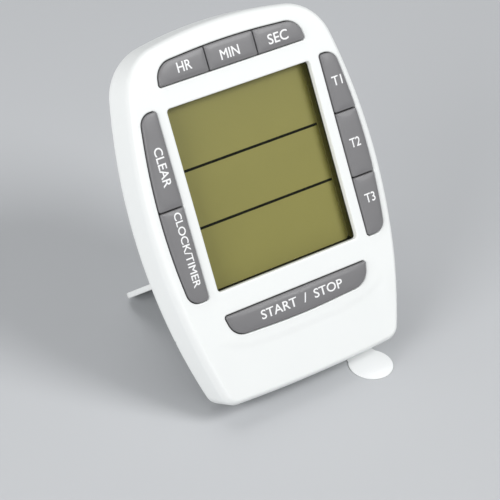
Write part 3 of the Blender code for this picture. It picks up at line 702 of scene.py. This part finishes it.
def make_legend(name, text, centre, length, capital, key, downward=False):
    """A printed word on a key: length and capital height in mm, centre (x, height from the window)."""
    curve = bpy.data.curves.new(name, "FONT")
    curve.body = text
    curve.resolution_u = 4
    word = bpy.data.objects.new(name, curve)
    bpy.context.scene.collection.objects.link(word)
    data = bpy.data.meshes.new_from_object(word.evaluated_get(bpy.context.evaluated_depsgraph_get()))
    bpy.data.objects.remove(word)
    build = bmesh.new()
    build.from_mesh(data)
    bmesh.ops.remove_doubles(build, verts=build.verts, dist=1e-4)
    thicken(build, INK_SPREAD)
    low = Vector([min(v.co[k] for v in build.verts) for k in range(2)])
    high = Vector([max(v.co[k] for v in build.verts) for k in range(2)])
    for vertex in build.verts:
        along = ((vertex.co.x - low.x) / (high.x - low.x) - 0.5) * length
        up = ((vertex.co.y - low.y) / (high.y - low.y) - 0.5) * capital
        x, height = (up, -along) if downward else (along, up)
        vertex.co = (centre[0] + x, centre[1] + height, 0)
    longest = 0.5
    for _ in range(4):                      # short edges follow the key's curved top
        bmesh.ops.triangulate(build, faces=build.faces)
        coarse = [edge for edge in build.edges if edge.calc_length() > longest]
        bmesh.ops.subdivide_edges(build, edges=coarse, cuts=1)
    cap = key.data
    tree = BVHTree.FromPolygons([v.co for v in cap.vertices], [p.vertices for p in cap.polygons])
    for vertex in build.verts:
        start = place(vertex.co.x, -5.0, vertex.co.y + DISPLAY_HEIGHT)
        vertex.co = tree.ray_cast(start, INWARD)[0] - INWARD * (INK_HEIGHT * MM)
    raised = bmesh.ops.extrude_face_region(build, geom=build.faces[:])
    sunk = [item for item in raised["geom"] if isinstance(item, bmesh.types.BMVert)]
    bmesh.ops.translate(build, verts=sunk, vec=INWARD * (3 * INK_HEIGHT * MM))
    bmesh.ops.recalc_face_normals(build, faces=build.faces)
    build.to_mesh(data)
    build.free()
    data.materials.clear()
    made = linked(name, data, "ink", angle=20)
    return settle(made, key["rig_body"], "white_case")


def make_keys():
    shares = {
        "key_hours": ("top", (0, None, -TOP_SPLIT)), "key_minutes": ("top", (0, -TOP_SPLIT, TOP_SPLIT)),
        "key_seconds": ("top", (0, TOP_SPLIT, None)), "key_start_stop": ("bottom", (0, None, None)),
        "key_clear": ("left", (1, DISPLAY_HEIGHT, None)),
        "key_clock_timer": ("left", (1, None, DISPLAY_HEIGHT)),
        "key_channel_1": ("right", (1, DISPLAY_HEIGHT + RIGHT_SPLIT, None)),
        "key_channel_2": ("right", (1, DISPLAY_HEIGHT - RIGHT_SPLIT, DISPLAY_HEIGHT + RIGHT_SPLIT)),
        "key_channel_3": ("right", (1, None, DISPLAY_HEIGHT - RIGHT_SPLIT)),
    }
    keys = {node: make_key(node + "_cap", group, share, node) for node, (group, share) in shares.items()}
    words = [("key_hours", "HR", (-14.6, 33.4), 4.3, 2.6), ("key_minutes", "MIN", (-0.7, 33.0), 5.8, 2.6),
             ("key_seconds", "SEC", (14.4, 32.8), 6.3, 2.7),
             ("key_start_stop", "START  /  STOP", (0.4, -33.6), 26.2, 2.45),
             ("key_clear", "CLEAR", (-28.5, 11.0), 10.2, 2.5),
             ("key_clock_timer", "CLOCK/TIMER", (-28.2, -10.8), 19.7, 2.2),
             ("key_channel_1", "T1", (28.5, 17.1), 3.2, 2.5), ("key_channel_2", "T2", (28.9, 0.1), 3.3, 2.5),
             ("key_channel_3", "T3", (28.9, -15.1), 3.3, 2.5)]
    for node, text, centre, length, capital in words:
        downward = node in ("key_clear", "key_clock_timer")
        make_legend(node.replace("key", "legend"), text, centre, length, capital, keys[node], downward)


# ---- display ---------------------------------------------------------------------------
def make_display():
    lens = Mesh()
    play, chamfer, flange_front, flange_back = 0.16, 0.1, 2.1, 2.7
    outline = rectangle(WINDOW_WIDTH - play, WINDOW_LENGTH - play, 0.95)
    flange = rectangle(47.6, 52.4, 1.0)
    rings = [lens.ring(grown(outline, -chamfer), WINDOW_RECESS),
             lens.ring(outline, WINDOW_RECESS + chamfer), lens.ring(outline, flange_front),
             lens.ring(flange, flange_front), lens.ring(flange, flange_back)]
    lens.bridge(*rings)
    lens.cap(rings[0])
    lens.cap(rings[-1])
    made = lens.finish("clear_lens", "lens", "shaded_lens_edge")
    # the side faces take the painted shade
    for face in made.data.polygons:
        if abs(face.normal.dot(INWARD)) < 0.3:
            face.material_index = 1
    settle(made, "case", "clear_window", "display_window")

    panel = Mesh()
    half_width, half_length, thickness = 23.0, 25.5, 1.7
    marks = [-half_length, SHADED_MARGIN]     # the strips between marks are dark and clear in turn; the lowest dark one is painted shade, the others the panel's print
    for line in MASK_LINES:
        marks += [line - MASK_HALF_LINE, line + MASK_HALF_LINE]
    marks = [DISPLAY_HEIGHT + mark for mark in marks + [half_length]]
    outline = [(-half_width, h) for h in reversed(marks)] + [(half_width, h) for h in marks]
    front, back = panel.ring(outline, PANEL_DEPTH), panel.ring(outline, PANEL_DEPTH + thickness)
    panel.bridge(front, back)
    panel.cap(back)
    count = len(marks)
    for k in range(count - 1):
        across = (front[2 * count - 2 - k], front[2 * count - 1 - k])
        face = panel.build.faces.new((front[k], front[k + 1], *across))
        face.material_index = k % 2
    made = panel.finish("crystal_panel", "panel", "line")
    settle(made, "case", "lcd_panel", "display_panel")


# ---- stand, tab and fasteners -------------------------------------------------------------
def make_stand():
    """The flap, drawn up from its hinge line and then swung open about it.  drop is how far it
    reaches, so that the round on its foot's lower edge just meets the bench."""
    hinge = Vector(joints["stand_fold"]["pos_m"])
    half = STAND_THICKNESS / 2
    side_edge = half - STAND_EDGE_ROUND
    foot = hinge.z / MM - STAND_EDGE_ROUND - side_edge * math.cos(STAND_SLOPE)
    drop = foot / math.sin(STAND_SLOPE) + STAND_EDGE_ROUND
    taper, foot_corner = 1.0, 6.5
    corners = [(-STAND_HALF_WIDTH, -half, 1.0), (STAND_HALF_WIDTH, -half, 1.0),
               (STAND_HALF_WIDTH - taper, drop, foot_corner), (-STAND_HALF_WIDTH + taper, drop, foot_corner)]
    outline = rounded(corners, 12)
    rings = []
    for step in range(6):
        turn = math.pi / 2 * step / 5
        rings.append((grown(outline, -STAND_EDGE_ROUND * (1 - math.sin(turn))),
                      -side_edge - STAND_EDGE_ROUND * math.cos(turn)))
    rings += [(loop, -depth) for loop, depth in reversed(rings)]
    flap = loft("stand_flap", rings, "white", angle=40)
    panel = rounded([(-18.5, 6, 1.5), (18.5, 6, 1.5), (18.5, drop - 9, 3), (-18.5, drop - 9, 3)])
    cut(flap, prism("recess", panel, -half - 2, -half + 0.35))
    for x in (-9, 0, 9):
        add(flap, box("rib", (x - 0.5, x + 0.5), (-half + 0.05, -half + 0.6), (5.8, drop - 8.8)))
    grip = [(-6, drop - 6.5, 1.8), (6, drop - 6.5, 1.8), (6, drop - 2.6, 1.8), (-6, drop - 2.6, 1.8)]
    cut(flap, prism("grip", rounded(grip), half - 0.5, half + 2))
    stud_radius, stud_ends = 1.0, (23.0, 24.9)
    circle = arc((0, 0), stud_radius, 0, 2 * math.pi, 32)[:-1]
    for side in (-1, 1):
        pin = bmesh.new()
        ends = [[pin.verts.new(place(side * along, a, b)) for a, b in circle] for along in stud_ends]
        for i in range(len(circle)):
            pin.faces.new((ends[0][i - 1], ends[0][i], ends[1][i], ends[1][i - 1]))
        for end in ends:
            pin.faces.new(end)
        bmesh.ops.recalc_face_normals(pin, faces=pin.faces)
        data = bpy.data.meshes.new("stud")
        pin.to_mesh(data)
        pin.free()
        add(flap, linked("stud", data, "white"))
    swing = Matrix.Rotation(-(math.pi / 2 - RECLINE) - STAND_SLOPE, 4, "X")
    turned_case = Matrix.Translation(hinge) @ Matrix.Rotation(-RECLINE, 4, "X") @ swing
    flap.data.transform(turned_case @ CASE_MATRIX.inverted())
    return settle(soften(flap, 0.2), "stand", "white_case", "stand")


def make_pull_tab():
    """A folded strip of film: up beside the cell, out of the slit, and a disc on the bench.  Its
    stations follow the strip: depth, height, turn from the case's back, and left and right edge."""
    low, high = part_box("pull_tab")
    middle = (low.x + high.x) / 2 / MM
    lift = 0.1 + TAB_THICKNESS / 2          # of the disc's middle plane above the bench
    slope = math.pi / 2 - RECLINE
    fold_height = (TAB_DEPTH * math.sin(RECLINE) - CASE_ORIGIN.z / MM + lift) / math.cos(RECLINE)
    run = TAB_FOLD_RADIUS * math.tan(slope / 2)
    tongue, tongue_top, tongue_foot, strip_top = (21.9, 23.5), 10.8, 2.7, 2.55
    wide = (middle - TAB_HALF_WIDTH, middle + TAB_HALF_WIDTH)
    stations = [(TAB_DEPTH, tongue_top, 0.0, tongue), (TAB_DEPTH, tongue_foot, 0.0, tongue),
                (TAB_DEPTH, strip_top, 0.0, wide)]
    for step in range(13):
        turn = slope * step / 12
        stations.append((TAB_DEPTH - TAB_FOLD_RADIUS + TAB_FOLD_RADIUS * math.cos(turn),
                         fold_height + run - TAB_FOLD_RADIUS * math.sin(turn), turn, wide))
    disc_reach = 5.9
    flare = disc_reach - math.sqrt(TAB_DISC_RADIUS ** 2 - TAB_HALF_WIDTH ** 2)
    for step in range(41):
        along = disc_reach - TAB_DISC_RADIUS * math.cos(math.pi * step / 40)
        if along > max(flare, run):
            half = math.sqrt(max(TAB_DISC_RADIUS ** 2 - (along - disc_reach) ** 2, 0.04))
            stations.append((TAB_DEPTH - along * math.cos(RECLINE), fold_height - along * math.sin(RECLINE),
                             slope, (middle - half, middle + half)))
    build = bmesh.new()
    loops = []
    for depth, height, turn, (left, right) in stations:
        off = (math.cos(turn) * TAB_THICKNESS / 2, -math.sin(turn) * TAB_THICKNESS / 2)
        loops.append([build.verts.new(place(x, depth + s * off[0], height + s * off[1]))
                      for x, s in ((left, -1), (right, -1), (right, 1), (left, 1))])
    for a, b in zip(loops, loops[1:]):
        for i in range(4):
            build.faces.new((a[i - 1], a[i], b[i], b[i - 1]))
    build.faces.new(loops[0])
    build.faces.new(loops[-1])
    bmesh.ops.recalc_face_normals(build, faces=build.faces)
    data = bpy.data.meshes.new("film_tab")
    build.to_mesh(data)
    build.free()
    tab = linked("film_tab", data, "film")
    add(tab, box("ear", (22.65, 22.85), (5.2, TAB_DEPTH), (6.6, 10.2), "film"))
    return settle(tab, "pull_tab", "tab_film", "pull_tab")


def make_case_screws():
    """Pan-head screws with a cross recess."""
    for name, centre in CASE_SCREWS.items():
        rim, head_radius, dome_rise, dome_inset = 12.9, 2.0, 0.75, 1.6
        profile = [(5.0, 0.4), (5.8, 0.95), (12.7, 0.95), (12.71, 1.95), (rim, head_radius)]
        profile += [(rim + dome_rise * math.sin(turn), head_radius - dome_inset * (1 - math.cos(turn)))
                    for turn in (0.4, 0.75, 1.1, 1.4)]
        rings = [(arc(centre, radius, 0, 2 * math.pi, 32)[:-1], depth) for depth, radius in profile]
        screw = loft(name + "_body", rings, "steel", angle=30)
        for wide, tall in ((0.5, 2.4), (2.4, 0.5)):
            blade = rounded([(centre[0] + sx * wide / 2, centre[1] + sy * tall / 2, 0.1)
                             for sx, sy in ((-1, -1), (1, -1), (1, 1), (-1, 1))], 3)
            cut(screw, prism("recess", blade, 12.95, 15, "steel"))
        settle(screw, "case", "nickel_steel", name)


def finish_cad_nodes():
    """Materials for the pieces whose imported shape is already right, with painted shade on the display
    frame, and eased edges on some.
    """
    looks = {
        "display_frame": "shaded_border", "contact_strip_upper": "strip", "contact_strip_lower": "strip",
        "circuit_board": "board", "controller_chip": "epoxy", "clock_crystal": "steel",
        "keypad_top": "rubber", "keypad_bottom": "rubber", "keypad_right": "rubber",
        "keypad_left": "rubber", "buzzer_disc": "brass", "buzzer_wire_red": "red",
        "buzzer_wire_black": "black", "battery_cell": "cell", "positive_contact": "steel",
        "negative_contact": "steel", "negative_spring": "steel", "battery_wire_red": "red",
        "battery_wire_black": "black", "board_screw_left": "steel", "board_screw_right": "steel",
        "magnet_left": "magnet", "magnet_right": "magnet"}
    for node, material in looks.items():
        data = frame["nodes"][node].data
        data.materials.clear()
        data.materials.append(MATERIALS[material])
    for node in ("magnet_left", "magnet_right"):
        soften(frame["nodes"][node], 0.35, 3)
    shaded_border = frame["nodes"]["display_frame"].data
    shaded_border.materials.append(MATERIALS["line"])
    painted_shade_top = place(0, 0, DISPLAY_HEIGHT - 23.5)      # painted shade: the frame's lower run is as dark as the panel's lower margin
    for face in shaded_border.polygons:
        if (face.center - painted_shade_top).dot(UP_FACE) < 0:
            face.material_index = 1


# ---- floor, light and camera -------------------------------------------------------------
def make_stage():
    data = bpy.data.meshes.new("floor")
    reach_out = 3.0
    corners = [(x * reach_out, y * reach_out, 0) for x, y in ((-1, -1), (1, -1), (1, 1), (-1, 1))]
    data.from_pydata(corners, [], [(0, 1, 2, 3)])
    floor = bpy.data.objects.new("floor", data)
    bpy.context.scene.collection.objects.link(floor)
    MATERIALS["floor"] = surface("pale_floor", (0.5, 0.51, 0.525), 0.7, variation=0.0)
    data.materials.append(MATERIALS["floor"])

    world = bpy.data.worlds.new("studio")
    world.use_nodes = True
    world.node_tree.nodes["Background"].inputs["Color"].default_value = (0.95, 0.98, 1.0, 1)
    world.node_tree.nodes["Background"].inputs["Strength"].default_value = 0.3
    bpy.context.scene.world = world

    target = place(0, 5, 48)                # about the middle of the case
    lamps = {"key_light": ((0.42, -0.55, 0.75), 0.45, 6.0), "fill_light": ((-0.85, -0.2, 0.4), 0.6, 5.6),
             "top_light": ((-0.1, 0.35, 0.9), 0.6, 2.2)}       # place and size in metres, watts
    for name, (spot, size, power) in lamps.items():
        light = bpy.data.lights.new(name, "AREA")
        light.shape, light.size, light.energy = "DISK", size, power
        lamp = bpy.data.objects.new(name, light)
        bpy.context.scene.collection.objects.link(lamp)
        lamp.location = spot
        lamp.rotation_euler = (target - lamp.location).to_track_quat("-Z", "Y").to_euler()


def make_camera():
    """The view from the front left and above.  The camera looks past its target by a little."""
    azimuth, elevation, roll = (math.radians(a) for a in (-38.505, 37.329, -4.421))
    target, distance, sideways, upwards = place(-0.75, 0, 54.9), 589.58, 3.08, 19.30
    back = Vector((math.sin(azimuth) * math.cos(elevation), -math.cos(azimuth) * math.cos(elevation),
                   math.sin(elevation)))
    level = Vector((math.cos(azimuth), math.sin(azimuth), 0))
    upright = back.cross(level)
    right = level * math.cos(roll) - upright * math.sin(roll)
    up = level * math.sin(roll) + upright * math.cos(roll)
    data = bpy.data.cameras.new("camera")
    data.sensor_width, data.lens = 36.0, 165.6
    data.clip_start, data.clip_end = 0.01, 20.0
    camera = bpy.data.objects.new("camera", data)
    bpy.context.scene.collection.objects.link(camera)
    spot = target + (back * distance - right * sideways - up * upwards) * MM
    turn = Matrix((right, up, back)).transposed().to_4x4()
    camera.matrix_world = Matrix.Translation(spot) @ turn
    bpy.context.scene.camera = camera


make_front_shell()
make_back_shell()
make_battery_door()
make_keys()
make_display()
make_stand()
make_pull_tab()
make_case_screws()
finish_cad_nodes()
make_stage()
make_camera()
bpy.context.scene.view_settings.view_transform = "Standard"
